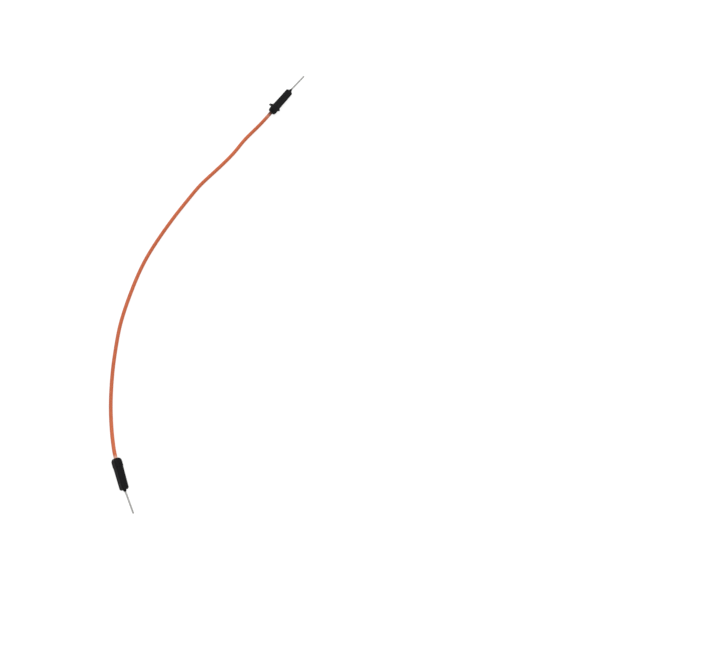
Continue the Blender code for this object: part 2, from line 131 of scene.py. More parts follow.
class ShaderTree:
    """The node tree of one material, world or lamp, with one method that adds every node."""

    def __init__(self, owner: ID) -> None:
        """Empty the owner's node tree and keep it."""
        owner.use_nodes = True
        self.tree = owner.node_tree
        self.tree.nodes.clear()

    @staticmethod
    def _pick(sockets: Any, key: str | int) -> NodeSocket:
        """Return the socket with that index, identifier or name."""
        if isinstance(key, int):
            return sockets[key]
        for socket in sockets:
            if socket.identifier == key:
                return socket
        return sockets[key]

    def add(
        self,
        kind: str,
        settings: dict[str, Any] | None = None,
        values: dict[str | int, Any] | None = None,
        out: str | int = 0,
    ) -> Signal:
        """Add one node.

        Args:
            kind: the node's type.
            settings: its properties, set first.
            values: its input sockets, by index, identifier or name, each a Signal or a constant.
            out: the output socket to hand back.

        Returns:
            The chosen output.
        """
        node = self.tree.nodes.new(kind)
        for key, value in (settings or {}).items():
            setattr(node, key, value)
        for key, value in (values or {}).items():
            socket = self._pick(node.inputs, key)
            if isinstance(value, Signal):
                self.tree.links.new(value.socket, socket)
            else:
                socket.default_value = value
        outputs = node.outputs
        return Signal(self, self._pick(outputs, out)) if len(outputs) else None

    def fact(self, name: str, out: str = "Fac") -> Signal:
        """Return what the mesh carries by that name: a number or, with Vector, a place in mm."""
        return self.add("ShaderNodeAttribute", {"attribute_name": name}, out=out)

    def split(self, vector: Signal) -> tuple[Signal, Signal, Signal]:
        """Return the three parts of a vector."""
        first = self.add("ShaderNodeSeparateXYZ", None, {0: vector})
        sockets = first.socket.node.outputs
        return first, Signal(self, sockets[1]), Signal(self, sockets[2])

    def stretched(self, vector: Signal, scale: Triple) -> Signal:
        """Return a vector with each part multiplied by its own scale."""
        return self.add("ShaderNodeVectorMath", {"operation": "MULTIPLY"}, {0: vector, 1: scale})

    def noise(
        self, vector: Signal, scale: float, detail: float = 2.0, rough: float = 0.5
    ) -> Signal:
        """Return fractal noise, about 0.5 in the middle, with scale lumps to a unit."""
        values = {"Vector": vector, "Scale": scale, "Detail": detail, "Roughness": rough}
        return self.add("ShaderNodeTexNoise", None, values)

    def blend(self, factor: Signal | float, low: Any, high: Any) -> Signal:
        """Return a colour that goes from low to high with factor."""
        values = {"Factor_Float": factor}
        for key, colour in (("A_Color", low), ("B_Color", high)):
            values[key] = colour if isinstance(colour, Signal) else (*colour, 1.0)
        return self.add("ShaderNodeMix", {"data_type": "RGBA"}, values, out="Result_Color")

    def bump(self, height: Signal, depth: float) -> Signal:
        """Return a normal bent by a height from 0 to 1 that stands for that depth in metres."""
        values = {"Strength": 1.0, "Distance": depth, "Height": height}
        return self.add("ShaderNodeBump", None, values)

    def surface(self, **inputs: Any) -> None:
        """Finish a material with one Principled shader.

        Args:
            inputs: its sockets by name, with _ for each space.
        """
        values = {key.replace("_", " "): value for key, value in inputs.items()}
        shader = self.add("ShaderNodeBsdfPrincipled", None, values, out="BSDF")
        self.add("ShaderNodeOutputMaterial", None, {"Surface": shader})


def fresh_material(name: str) -> tuple[Material, ShaderTree]:
    """Return a new material and its empty node tree."""
    material = bpy.data.materials.new(name)
    return material, ShaderTree(material)


# Finishes


@dataclass(frozen=True)
class MouldedBlack:
    """Black housing plastic from a spark-eroded mould: fine grain, flow streaks, rubbed edges."""

    black: Triple = (0.0036, 0.0035, 0.0040)
    bloom: Triple = (0.0068, 0.0066, 0.0074)
    rubbed: Triple = (0.0140, 0.0140, 0.0148)
    dust: Triple = (0.045, 0.043, 0.039)
    roughness: float = 0.37
    specular: float = 0.08
    grain_depth: float = 0.008 * MM
    mark_place: Pair = (1.95, 0.0)
    mark_radius: float = 0.42
    mark_steepness: float = 14.0
    mark_pip: float = 0.13
    mark_height: float = 3.6

    def gate_mark(self, tree: ShaderTree, place: Signal) -> Signal:
        """Return the height of the round gate mark on the collar's +Z flat, 0 elsewhere.

        Args:
            tree: the material's tree.
            place: the plug's own coordinates in millimetres.

        Returns:
            A shallow dish with a raised rim and a torn pip in its middle, where Z is above 0.
        """
        x, y, z = tree.split(place)
        away = ((x - self.mark_place[0]) ** 2.0 + (y - self.mark_place[1]) ** 2.0) ** 0.5
        rim = 1.0 - (abs(away - self.mark_radius) * self.mark_steepness).clipped()
        pip = away.ramp(self.mark_pip, 0.05)
        dish = away.ramp(self.mark_radius, self.mark_radius - 0.08)
        return (rim * 0.35 + pip * 0.9 - dish * 0.5) * z.ramp(0.9, 1.1)

    def dress(self, name: str) -> Material:
        """Return the material under that name."""
        material, tree = fresh_material(name)
        place = tree.fact("plug_mm", "Vector")
        grain = tree.noise(place, 16.0, 4.0, 0.62)
        lumps = tree.noise(place, 1.9, 2.0)
        flow = tree.noise(tree.stretched(place, (0.5, 3.2, 3.2)), 1.5, 4.0, 0.6)
        hairs = tree.noise(tree.stretched(place, (1.1, 15.0, 15.0)), 1.0, 3.0, 0.7)
        scratches = hairs.ramp(0.63, 0.72) * lumps.ramp(0.45, 0.65)
        edge = tree.fact("edge")
        seam = tree.fact("seam")
        fine = tree.noise(place, 7.0, 4.0, 0.65)
        wear = (edge * fine.ramp(0.44, 0.62) * 0.6 + seam * fine.ramp(0.48, 0.66) * 0.4).clipped()
        specks = tree.noise(place, 6.7, 1.0).ramp(0.72, 0.77) * lumps.ramp(0.45, 0.6)
        colour = tree.blend(flow.ramp(0.34, 0.70), self.black, self.bloom)
        colour = tree.blend((wear + scratches * 0.35).clipped(), colour, self.rubbed)
        colour = tree.blend(specks * 0.45, colour, self.dust)
        height = grain * 0.6 + lumps * 0.35 + flow * 0.25 - scratches * 0.2
        height = height + self.gate_mark(tree, place) * self.mark_height
        tree.surface(
            Base_Color=colour,
            Roughness=self.roughness + grain * 0.10 + lumps * 0.12 + specks * 0.2 - wear * 0.10,
            Specular_IOR_Level=self.specular,
            Normal=tree.bump(height, self.grain_depth),
        )
        return material


@dataclass(frozen=True)
class JacketVinyl:
    """Soft orange PVC off an extruder: faint die lines and a mottled tint.

    Beside plug A it is darker: a dark film and a crust of plug A's plastic, deepened with painted
    shade. It is pale where it is strained at either plug. Each sets in between two distances from
    its plug, in the fields that end in _mm.
    """

    orange: Triple = (0.540, 0.123, 0.047)
    deep: Triple = (0.478, 0.105, 0.042)
    warm: Triple = (0.595, 0.163, 0.067)
    # The next two colours darken the jacket beside plug A: partly plug A's black plastic on it,
    # partly painted shade.
    film: Triple = (0.068, 0.019, 0.015)
    crust: Triple = (0.012, 0.006, 0.004)
    strained: Triple = (0.650, 0.370, 0.280)
    scuff: Triple = (0.650, 0.250, 0.130)
    bent_mm: Pair = (5.4, 2.2)
    bent_share: float = 0.32
    pulled_mm: Pair = (1.75, 0.65)
    pulled_share: float = 0.92
    film_mm: Pair = (3.00, 0.90)
    crust_mm: Pair = (1.25, 0.55)
    crust_share: float = 0.9
    roughness: float = 0.36
    specular: float = 0.20
    line_depth: float = 0.005 * MM

    def dress(self, name: str) -> Material:
        """Return the material under that name."""
        material, tree = fresh_material(name)
        place = tree.fact("lead_mm", "Vector")
        broad = tree.noise(tree.stretched(place, (0.055, 0.5, 0.5)), 1.0, 2.0)
        mottle = tree.noise(tree.stretched(place, (0.7, 1.5, 1.5)), 1.4, 4.0, 0.62)
        lines = tree.noise(tree.stretched(place, (0.06, 12.0, 12.0)), 1.0, 4.0, 0.6)
        pores = tree.noise(place, 17.0, 3.0, 0.62)
        patches = tree.noise(place, 1.9, 4.0, 0.65)
        scuffs = patches.ramp(0.60, 0.70) * lines.ramp(0.46, 0.6)
        colour = tree.blend(broad.ramp(0.7, 0.3), self.orange, self.deep)
        colour = tree.blend(mottle.ramp(0.42, 0.72) * 0.7, colour, self.warm)
        colour = tree.blend(scuffs * 0.25, colour, self.scuff)
        from_a, from_b = tree.fact("from_a_mm"), tree.fact("from_b_mm")
        bent = (from_a + patches * 1.2).ramp(*self.bent_mm)
        pulled = (from_b + patches * 0.5).ramp(*self.pulled_mm)
        strain = (pulled * self.pulled_share + bent * self.bent_share).clipped()
        colour = tree.blend(strain, colour, self.strained)
        # The darkening beside plug A in these blends is partly a film and crust of black plastic and
        # partly painted shade.
        crust = (from_a + patches * 0.5).ramp(*self.crust_mm)
        colour = tree.blend((from_a + patches * 0.9).ramp(*self.film_mm), colour, self.film)
        colour = tree.blend(crust * self.crust_share, colour, self.crust)
        height = lines * 0.8 + pores * 0.35 + patches * 0.3 + crust * 1.6
        dulled = mottle * 0.10 + scuffs * 0.18 + pulled * 0.10 + lines * 0.08
        tree.surface(
            Base_Color=colour,
            Roughness=self.roughness + dulled,
            Specular_IOR_Level=self.specular,
            Normal=tree.bump(height, self.line_depth),
        )
        return material


@dataclass(frozen=True)
class TinPlate:
    """Dull tin on a drawn pin: fine lines along it, cloudy patches and a scraped, rougher tip, whose
    darker colour is a painted dark reflection.

    Where it leaves the nub it is smeared with the housing's plastic.
    """

    tin: Triple = (0.340, 0.338, 0.328)
    cloud: Triple = (0.270, 0.268, 0.258)
    # This colour is real tarnish in the drawn lines, and at the tip it is a painted dark reflection.
    tarnish: Triple = (0.235, 0.228, 0.210)
    smear: Triple = (0.090, 0.086, 0.080)
    tip_mm: Pair = (0.62, 0.26)
    tip_share: float = 0.55
    smear_reaches: Pair = (1.05, 0.45)
    smear_share: float = 0.80
    roughness: float = 0.32
    line_depth: float = 0.002 * MM

    def dress(self, name: str) -> Material:
        """Return the material under that name."""
        material, tree = fresh_material(name)
        place = tree.fact("pin_mm", "Vector")
        lines = tree.noise(tree.stretched(place, (0.5, 30.0, 30.0)), 1.0, 4.0, 0.65)
        clouds = tree.noise(tree.stretched(place, (1.2, 2.6, 2.6)), 1.5, 4.0, 0.62)
        rings = tree.noise(tree.stretched(place, (11.0, 0.9, 0.9)), 1.0, 3.0, 0.6)
        grain = tree.noise(place, 34.0, 2.0, 0.6)
        tip = (tree.fact("from_tip_mm") + clouds * 0.25).ramp(*self.tip_mm)
        root = (tree.fact("smear") + clouds * 0.3).ramp(*self.smear_reaches)
        colour = tree.blend(clouds.ramp(0.38, 0.70), self.tin, self.cloud)
        colour = tree.blend(lines.ramp(0.54, 0.72) * 0.30, colour, self.tarnish)
        # The tip's darker colour is a painted dark reflection; only its added roughness is scraped
        # tin.
        colour = tree.blend(tip * self.tip_share, colour, self.tarnish)
        colour = tree.blend(root * self.smear_share, colour, self.smear)
        dulled = clouds * 0.12 + grain * 0.08 + tip * 0.10 + rings.ramp(0.6, 0.75) * 0.05
        height = lines * 0.8 + clouds * 0.4 + rings * 0.3 + grain * 0.2
        tree.surface(
            Base_Color=colour,
            Metallic=1.0,
            Roughness=self.roughness + dulled,
            Normal=tree.bump(height, self.line_depth),
        )
        return material


@dataclass(frozen=True)
class DrawnMetal:
    """Plain drawn metal inside the lead, on Object coordinates: lines, stains and dull spots."""

    bright: Triple
    stain: Triple
    dull: Triple
    stain_scale: float
    roughness: float
    depth: float

    def dress(self, name: str) -> Material:
        """Return the material under that name."""
        material, tree = fresh_material(name)
        place = tree.add("ShaderNodeTexCoord", out="Object")
        stains = tree.noise(place, self.stain_scale, 3.0, 0.6)
        grain = tree.noise(place, self.stain_scale * 9.0, 3.0, 0.6)
        spots = tree.noise(place, self.stain_scale * 3.1, 1.0).ramp(0.62, 0.72)
        colour = tree.blend(stains.ramp(0.38, 0.68), self.bright, self.stain)
        colour = tree.blend(spots * 0.5, colour, self.dull)
        tree.surface(
            Base_Color=colour,
            Metallic=1.0,
            Roughness=self.roughness + stains * 0.16 + spots * 0.12,
            Normal=tree.bump(grain * 0.7 + stains * 0.3, self.depth),
        )
        return material


SLEEVE_BRASS = DrawnMetal(
    bright=(0.62, 0.46, 0.20),
    stain=(0.45, 0.30, 0.12),
    dull=(0.24, 0.15, 0.07),
    stain_scale=900.0,
    roughness=0.22,
    depth=0.004 * MM,
)
STRAND_COPPER = DrawnMetal(
    bright=(0.72, 0.34, 0.19),
    stain=(0.52, 0.22, 0.11),
    dull=(0.26, 0.11, 0.06),
    stain_scale=1300.0,
    roughness=0.20,
    depth=0.002 * MM,
)


# Surfaces


def smoothed_line(
    knots: list[tuple[float, ...]], reach_mm: tuple[float, ...], steps: int, spacing: float
) -> Array:
    """Round the corners of a polyline of any number of coordinates, and space its runs out.

    Each inner knot V gives way to (1-t)^2 A + 2t(1-t) V + t^2 B, where A and B lie on the two runs
    at its reach from V, and t has steps + 1 even values. A straight run gets even points between.

    Args:
        knots: the polyline, one row a knot.
        reach_mm: how far from each knot its rounding starts, in millimetres; 0 keeps it sharp.
        steps: spans in each rounding.
        spacing: the longest span on a straight run.

    Returns:
        The rounded polyline, one row a point.
    """
    knots, reach = np.array(knots), np.array(reach_mm) * MM
    turns = np.linspace(0.0, 1.0, steps + 1)[:, None]
    pieces = [knots[:1]]
    for before, knot, after, cut in zip(knots, knots[1:], knots[2:], reach[1:]):
        if cut <= 0.0:
            pieces.append(knot[None])
            continue
        back, ahead = before - knot, after - knot
        start = knot + back * min(0.5, cut / np.linalg.norm(back))
        finish = knot + ahead * min(0.5, cut / np.linalg.norm(ahead))
        rounding = (1 - turns) ** 2 * start + 2 * turns * (1 - turns) * knot + turns**2 * finish
        pieces.append(rounding)
    corners = np.vstack([*pieces, knots[-1:]])
    lengths = np.linalg.norm(np.diff(corners, axis=0), axis=1)
    cuts = np.maximum(1, np.ceil(lengths / spacing)).astype(int)
    runs = [
        a + (b - a) * np.arange(count)[:, None] / count
        for a, b, count in zip(corners, corners[1:], cuts)
    ]
    return np.vstack([*runs, corners[-1:]])


def distances(points: Array) -> Array:
    """Return how far along a polyline each point is: the running sum of its spans."""
    spans = np.linalg.norm(np.diff(points, axis=0), axis=1)
    return np.concatenate([[0.0], np.cumsum(spans)])


def grid_quads(rows: int, around: int, rows_close: bool) -> Array:
    """Return the quads of a grid whose columns run round and meet.

    Args:
        rows: how many rings the grid has.
        around: how many points a ring has.
        rows_close: whether the last ring joins the first.

    Returns:
        An array of four point numbers a quad.
    """
    row = np.arange(rows if rows_close else rows - 1)[:, None]
    column = np.arange(around)[None, :]
    beside = (column + 1) % around
    here, following = row * around, (row + 1) % rows * around
    quads = [here + column, here + beside, following + beside, following + column]
    return np.stack(quads, axis=-1).reshape(-1, 4)


def enclosed(points: Array, quads: Array) -> float:
    """Return the volume in a shell of quads: the sum over their halves of a . (b x c) / 6.

    It is negative if the quads are turned inwards.
    """
    a, b, c, d = points[quads.T]
    return ((a * np.cross(b, c)).sum() + (a * np.cross(c, d)).sum()) / 6.0


def linked(name: str, data: ID) -> Object:
    """Return a new object of that data, in the scene."""
    made = bpy.data.objects.new(name, data)
    bpy.context.scene.collection.objects.link(made)
    return made


def shell_object(
    name: str, rings: Array, rows_close: bool, facts: dict[str, Array], finish: Material
) -> Object:
    """Return a closed, smooth object whose skin runs through rings of points.

    Args:
        name: the object's name.
        rings: points as rows x around x 3, in the row frame.
        rows_close: whether the last ring joins the first; otherwise a flat face closes each end.
        facts: attributes by name, a number or a vector for each point, as rows x around (x 3).
        finish: the material.

    Returns:
        The object, at the origin.
    """
    rows, around = rings.shape[:2]
    points = rings.reshape(-1, 3)
    quads = grid_quads(rows, around, rows_close)
    faces = quads.tolist()
    if not rows_close:
        numbers = list(range(len(points)))
        faces += [numbers[:around][::-1], numbers[-around:]]
    if enclosed(points, quads) < 0.0:
        faces = [face[::-1] for face in faces]
    mesh = bpy.data.meshes.new(name)
    mesh.from_pydata(points.tolist(), [], faces)
    for key, values in facts.items():
        flat = values.reshape(len(points), -1)
        kind, slot = ("FLOAT", "value") if flat.shape[1] == 1 else ("FLOAT_VECTOR", "vector")
        attribute = mesh.attributes.new(key, kind, "POINT")
        attribute.data.foreach_set(slot, flat.astype(np.float32).ravel())
    mesh.shade_smooth()
    mesh.set_sharp_from_angle(angle=math.radians(SHARP_DEG))
    mesh.materials.append(finish)
    mesh.update()
    return linked(name, mesh)


def pushed_aside(distance: Array, start: float, finish: float, reach: float) -> Array:
    """Return how far a push has moved what lies at each distance along a plug.

    It is reach * (3 t^2 - 2 t^3), with t the share of the way from start to finish, in 0..1.
    """
    t = np.clip((distance - start) / (finish - start), 0.0, 1.0)
    return reach * (3.0 * t**2 - 2.0 * t**3)


def placed(points: Array, matrix: Matrix) -> Array:
    """Return points carried by a 4 x 4 matrix: R p + t for each."""
    values = np.array(matrix)
    return points @ values[:3, :3].T + values[:3, 3]


# Plugs


@dataclass(frozen=True)
class Flash:
    """A fin of plastic that squeezed out between the mould's halves beside the collar.

    station is its place along the plug, reach how far it stands out, width its half length along
    the plug, hook how far its tip leans back, swell how much thicker it is than the parting ridge,
    and blunt makes it blocky instead of pointed.
    """

    side: Side
    station: float
    reach: float
    width: float
    hook: float = 0.0
    swell: float = 0.0
    blunt: bool = False

    def share(self, along: Array) -> Array:
        """Return the fin's height at each station as a share of its reach.

        It is e^(-d^2.2), or e^(-d^10) if the fin is blunt, with d the distance in half lengths.
        """
        away = np.abs(along - self.station) / self.width
        return np.exp(-(away ** (10.0 if self.blunt else 2.2)))


@dataclass
class HousingMould:
    """The sizes of a moulded housing and the way its skin is worked out.

    The skin is one closed surface of two parameters. Its rings run along the plug over the
    shoulder, collar, body and front face, up the nub, and back through the passage to the rear
    face. Around the plug each ring is either a square with cut, rounded corners or a circle.
    """

    length: float = 11.9 * MM
    rear_half: float = 1.05 * MM
    rear_corner: float = 0.70 * MM
    shoulder: float = 1.30 * MM
    collar_half: float = 1.643 * MM
    collar_corner: float = 0.60 * MM
    collar_end: float = 3.15 * MM
    step: float = 0.22 * MM
    body_rear_half: float = 1.535 * MM
    body_front_half: float = 1.445 * MM
    body_corner: float = 0.55 * MM
    front_edge: float = 0.42 * MM
    edge_round: float = 0.15 * MM
    sink: float = 0.022 * MM
    sink_fades: Pair = (1.2 * MM, 1.5 * MM)
    wear_width: float = 0.10 * MM
    face_shares: Pair = (0.35, 0.70)
    nub_length: float = 1.10 * MM
    nub_base: float = 0.68 * MM
    nub_foot: float = 0.16 * MM
    nub_tip: float = 0.44 * MM
    wire_hole: float = 0.704 * MM
    wire_mouth: float = 0.04 * MM
    pin_hole: float = 0.325 * MM
    chamber: float = 0.58 * MM
    pocket: float = 0.51 * MM
    chamber_ends: Pair = (4.1 * MM, 8.4 * MM)
    pocket_ends: Pair = (8.95 * MM, 9.65 * MM)
    push_ends: Pair = (12.2 * MM, 13.7 * MM)
    ridge: float = 0.028 * MM
    ridge_heights: tuple[float, ...] = (0.0, 0.014, 0.030, 0.050, 0.085)
    ridge_shares: tuple[float, ...] = (1.0, 0.97, 0.72, 0.22, 0.0)
    spacing: float = 0.07 * MM
    passage_spacing: float = 0.45 * MM
    shoulder_steps: int = 22
    flat_steps: int = 6
    turn_steps: int = 4

    @staticmethod
    def stood(stations: Array, sections: Array) -> Array:
        """Return rings of (station, y, z) from a station a ring and its points' (y, z)."""
        x = np.broadcast_to(stations[:, None, None], sections.shape[:2] + (1,))
        return np.concatenate([x, sections], axis=2)

    @staticmethod
    def columns(like: Array, pair: tuple[Any, Any]) -> Array:
        """Return a pair, each of it a number or an array as long as like, as two columns."""
        return np.column_stack([np.broadcast_to(part, like.shape) for part in pair])

    def section(self) -> dict[str, Array]:
        """Work out the ring of a square with cut, rounded corners, for any size at once.

        Point j of a ring is half * H_j + corner * C_j + edge * E_j + F_j, in (y, z). In the first
        quarter it runs up the +Y flat, with fixed steps beside the parting line, round one edge
        of the corner cut, over the cut, round its other edge and along the +Z flat. The other
        quarters mirror it.

        Returns:
            The arrays H, C, E and F, sunk for the way and share of a flat's sinking in, ridge for
            the share of the parting ridge, and edge, which is 1 on the roundings.
        """
        heights = np.array(self.ridge_heights) * MM
        up = np.arange(1, self.flat_steps + 1) / self.flat_steps
        turn = np.arange(1, self.turn_steps + 1) / self.turn_steps
        slant = math.sqrt(0.5)
        down = 1.0 - up
        bend = (-slant * turn**2, -((1 - turn) ** 2) + slant * turn**2)
        across = (slant * (2 * turn - 1), slant * (1 - 2 * turn))
        unbend = (slant * (1 - turn) ** 2 - turn**2, -slant * (1 - turn) ** 2)
        none, both = (0.0, 0.0), (1.0, 1.0)
        stretches = (
            (heights, (1.0, 0.0), none, none, (0.0, heights)),
            (up, (1.0, up), (0.0, -up), (0.0, -up), (0.0, heights[-1] * down)),
            (turn, both, (0.0, -1.0), bend, none),
            (turn, both, (-turn, turn - 1), across, none),
            (turn, both, (-1.0, 0.0), unbend, none),
            (up, (down, 1.0), (-down, 0.0), (-down, 0.0), none),
        )
        quarter = {
            key: np.vstack([self.columns(stretch[0], stretch[k]) for stretch in stretches])
            for k, key in enumerate("HCEF", start=1)
        }
        count = len(quarter["H"])
        lower = len(heights) + len(up)
        upper = count - len(up)
        sunk, ridge = np.zeros((2, count, 2))
        flat = np.concatenate([np.linspace(0.0, 0.35, len(heights)), 0.35 + 0.65 * up])
        sunk[:lower, 0] = -(1.0 - flat**2)
        sunk[upper:, 1] = -(1.0 - down**2)
        ridge[: len(heights), 0] = self.ridge_shares
        edge = np.zeros((count, 1))
        edge[lower : lower + len(turn)] = 1.0
        edge[lower + 2 * len(turn) : upper] = 1.0
        quarter |= {"sunk": sunk, "ridge": ridge, "edge": edge}

        ring = {}
        for key, rows in quarter.items():
            mirror = np.array([-1.0, 1.0]) if rows.shape[1] == 2 else np.ones(1)
            half_ring = np.vstack([rows, rows[-2::-1] * mirror])
            below = -half_ring[1:-1] if rows.shape[1] == 2 else half_ring[1:-1]
            ring[key] = np.vstack([half_ring, below])
        return ring

    def outside(self) -> Array:
        """Return (station, half, corner) along the outside, from the rear face to the front face.

        The shoulder is a quarter of an ellipse: the half width rises with sin t, the station and
        the corner go with 1 - cos t.
        """
        turn = np.linspace(0.0, 0.5 * math.pi, self.shoulder_steps)
        share = 1.0 - np.cos(turn)
        half = self.rear_half + (self.collar_half - self.rear_half) * np.sin(turn)
        corner = self.rear_corner + (self.collar_corner - self.rear_corner) * share
        dome = np.column_stack([self.shoulder * share, half, corner])
        knots = [
            (self.shoulder, self.collar_half, self.collar_corner),
            (self.collar_end, self.collar_half, self.collar_corner),
            (self.collar_end + self.step, self.body_rear_half, self.body_corner),
            (self.length - self.front_edge, self.body_front_half, self.body_corner),
            (self.length, self.body_front_half - self.front_edge, self.body_corner / 2),
        ]
        line = smoothed_line(knots, (0.0, 0.10, 0.09, 0.16, 0.0), 5, self.spacing)
        return np.vstack([dome[:-1], line])

    def passage(self) -> Array:
        """Return (station, radius) up the nub and back through the passage to the rear face."""
        tip = self.length + self.nub_length
        rear, front = self.chamber_ends
        keeper_rear, keeper_front = self.pocket_ends
        knots = [
            (self.length, self.nub_base + self.nub_foot),
            (self.length, self.nub_base),
            (tip, self.nub_tip),
            (tip, self.pin_hole),
            (keeper_front, self.pin_hole),
            (keeper_front, self.pocket),
            (keeper_rear, self.pocket),
            (keeper_rear, self.pin_hole),
            (front, self.pin_hole),
            (front, self.chamber),
            (rear, self.chamber),
            (rear, self.wire_hole),
            (self.wire_mouth, self.wire_hole),
            (0.0, self.wire_hole + self.wire_mouth),
        ]
        rounds = (0.0, 0.10, 0.03, 0.01, *[0.0] * 10)
        return smoothed_line(knots, rounds, 4, self.passage_spacing)

    def skin(
        self, fins: tuple[Flash, ...], torn: Pair, push: Pair, seed: float
    ) -> tuple[Array, dict[str, Array]]:
        """Return the housing's rings in the plug's frame, and what its finish reads.

        Args:
            fins: the flash beside the collar.
            torn: the least and the most that the nub's rim falls short by, as shares of the nub.
            push: how far (y, z) the pin stands to one side, and takes the nub's tip along.
            seed: a phase that gives each housing its own small unevenness.

        Returns:
            The rings as rows x around x 3, and the attributes plug_mm, edge and seam.
        """
        ring = self.section()
        around = len(ring["H"])
        line = self.outside()
        station, half, corner = line.T[..., None, None]
        edge = np.minimum(self.edge_round, corner / 2)
        flat = half * ring["H"] + corner * ring["C"] + edge * ring["E"] + ring["F"]
        fade_in, fade_out = self.sink_fades
        body = np.clip((station - self.collar_end - self.step) / fade_in, 0.0, 1.0)
        ahead = np.clip((self.length - self.front_edge - station) / fade_out, 0.0, 1.0)
        flat = flat + self.sink * np.sqrt(body * ahead) * ring["sunk"]

        along = line[:, 0]
        wave = 0.62 + 0.25 * np.sin(along / MM * 5.1 + seed)
        wave += 0.13 * np.sin(along / MM * 13.7 + 2 * seed)
        shift, reach, thicker = np.zeros((3, len(line), around))
        for side in Side:
            here = ring["ridge"][:, 0] * side.value > 0
            beside = ring["H"][:, 0] * side.value > 0
            height = self.ridge * wave
            for fin in fins:
                if fin.side is side:
                    rise = fin.share(along)
                    height = np.maximum(height, fin.reach * rise)
                    lean = fin.hook * rise
                    shift[:, here] -= lean[:, None] * np.abs(ring["ridge"][here, 0])
                    thicker[:, beside] += fin.swell * rise[:, None]
            reach[:, here] = height[:, None]
        flat = flat + reach[..., None] * ring["ridge"] + thicker[..., None] * ring["F"]
        outer = self.stood(along, flat)
        outer[..., 0] += shift

        last = flat[-1]
        angle = np.arctan2(last[:, 1], last[:, 0])
        circle = np.column_stack([np.cos(angle), np.sin(angle)])
        way = self.passage()
        tube = self.stood(way[:, 0], way[:, 1][:, None, None] * circle)
        uneven = 0.5 - 0.5 * np.cos(angle - math.pi / 2 - seed) + 0.08 * np.sin(5 * angle + seed)
        pushed = pushed_aside(way[:, 0], *self.push_ends, 1.0)
        tube[..., 1:] += pushed[:, None, None] * np.array(push)
        beyond = np.maximum(tube[..., 0] - self.length, 0.0)
        tube[..., 0] -= beyond * (torn[0] + (torn[1] - torn[0]) * uneven)

        weight = np.array(self.face_shares)[:, None, None]
        face = (1 - weight) * outer[-1] + weight * tube[0]
        rear = (1 - weight) * tube[-1] + weight * outer[0]
        rings = np.concatenate([outer, face, tube, rear], axis=0)

        worn, seam = np.zeros((2, len(rings), around))
        profile = np.zeros(len(line))
        for corner_station in (self.collar_end, self.length - self.front_edge, self.length):
            profile += np.exp(-(((along - corner_station) / self.wear_width) ** 2))
        worn[: len(line)] = np.clip(ring["edge"][:, 0] + profile[:, None], 0.0, 1.0)
        seam[: len(line)] = np.abs(ring["ridge"][:, 0])
        return rings, {"plug_mm": rings / MM, "edge": worn, "seam": seam}


@dataclass
class ContactPin:
    """The sizes of a bare round pin and the way its skin is worked out.

    The skin turns a profile (distance, radius) about a line that runs straight in the housing and
    leans in plan beyond it: its heading grows evenly from 0 to the lean along the bend.
    """

    radius: float = 0.314 * MM
    tail: float = 6.8 * MM
    nub_tip: float = 13.0 * MM
    length: float = 8.19 * MM
    tip_length: float = 0.34 * MM
    keeper_ends: Pair = (9.0 * MM, 9.6 * MM)
    keeper_rise: float = 0.138 * MM
    keeper_slope: float = 0.12 * MM
    tail_chamfer: float = 0.06 * MM
    bend_start: float = 0.05 * MM
    bend_end: float = 0.70 * MM
    smear_reach: float = 0.95 * MM
    spacing: float = 0.15 * MM
    nose_steps: int = 15
    around: int = 40

    def profile(self) -> Array:
        """Return (distance, radius) from tail to tip; the tip is a quarter of an ellipse."""
        tip = self.nub_tip + self.length
        rear, front = self.keeper_ends
        turn = np.linspace(0.0, 0.5 * math.pi, self.nose_steps)[:-1]
        knots = [
            (self.tail, self.radius - self.tail_chamfer),
            (self.tail + self.tail_chamfer, self.radius),
            (rear, self.radius),
            (rear + self.keeper_slope, self.radius + self.keeper_rise),
            (front - self.keeper_slope, self.radius + self.keeper_rise),
            (front, self.radius),
            (tip - self.tip_length, self.radius),
        ]
        shank = smoothed_line(knots, (0.0, 0.02, 0.04, 0.04, 0.04, 0.04, 0.0), 3, self.spacing)
        ahead = tip - self.tip_length * (1.0 - np.sin(turn))
        nose = np.column_stack([ahead, self.radius * np.cos(turn)])
        return np.vstack([shank, nose[1:]])

    def skin(self, lean: float, push: float, push_ends: Pair) -> tuple[Array, dict[str, Array]]:
        """Return the pin's rings in the plug's frame, and what its finish reads.

        Args:
            lean: the pin's lean in plan, in radians.
            push: how far the pin stands to one side where it leaves the nub.
            push_ends: between which distances it gets there.

        Returns:
            The rings as rows x around x 3, and the attributes pin_mm, from_tip_mm and smear, the
            distance from the nub in reaches of its smear.
        """
        line = self.profile()
        distance, radius = line[:, 0], line[:, 1]
        middle = (distance[1:] + distance[:-1]) / 2 - self.nub_tip
        share = np.clip((middle - self.bend_start) / (self.bend_end - self.bend_start), 0.0, 1.0)
        step = np.diff(distance)
        x = distance[0] + np.concatenate([[0.0], np.cumsum(step * np.cos(lean * share))])
        y = np.concatenate([[0.0], np.cumsum(step * np.sin(lean * share))])
        y = y + pushed_aside(distance, *push_ends, push)
        heading = lean * np.concatenate([[0.0], share])
        turn = np.linspace(0.0, 2.0 * math.pi, self.around, endpoint=False)
        across = radius[:, None] * np.cos(turn)
        upward = radius[:, None] * np.sin(turn)
        east = x[:, None] - across * np.sin(heading)[:, None]
        north = y[:, None] + across * np.cos(heading)[:, None]
        rings = np.stack([east, north, upward], axis=-1)
        flat = np.broadcast_to(distance[:, None], across.shape)
        straight = np.stack([flat, across, upward], axis=-1) / MM
        tip = self.nub_tip + self.length
        facts = {
            "pin_mm": straight,
            "from_tip_mm": (tip - flat) / MM,
            "smear": np.abs(flat - self.nub_tip) / self.smear_reach,
        }
        return rings, facts


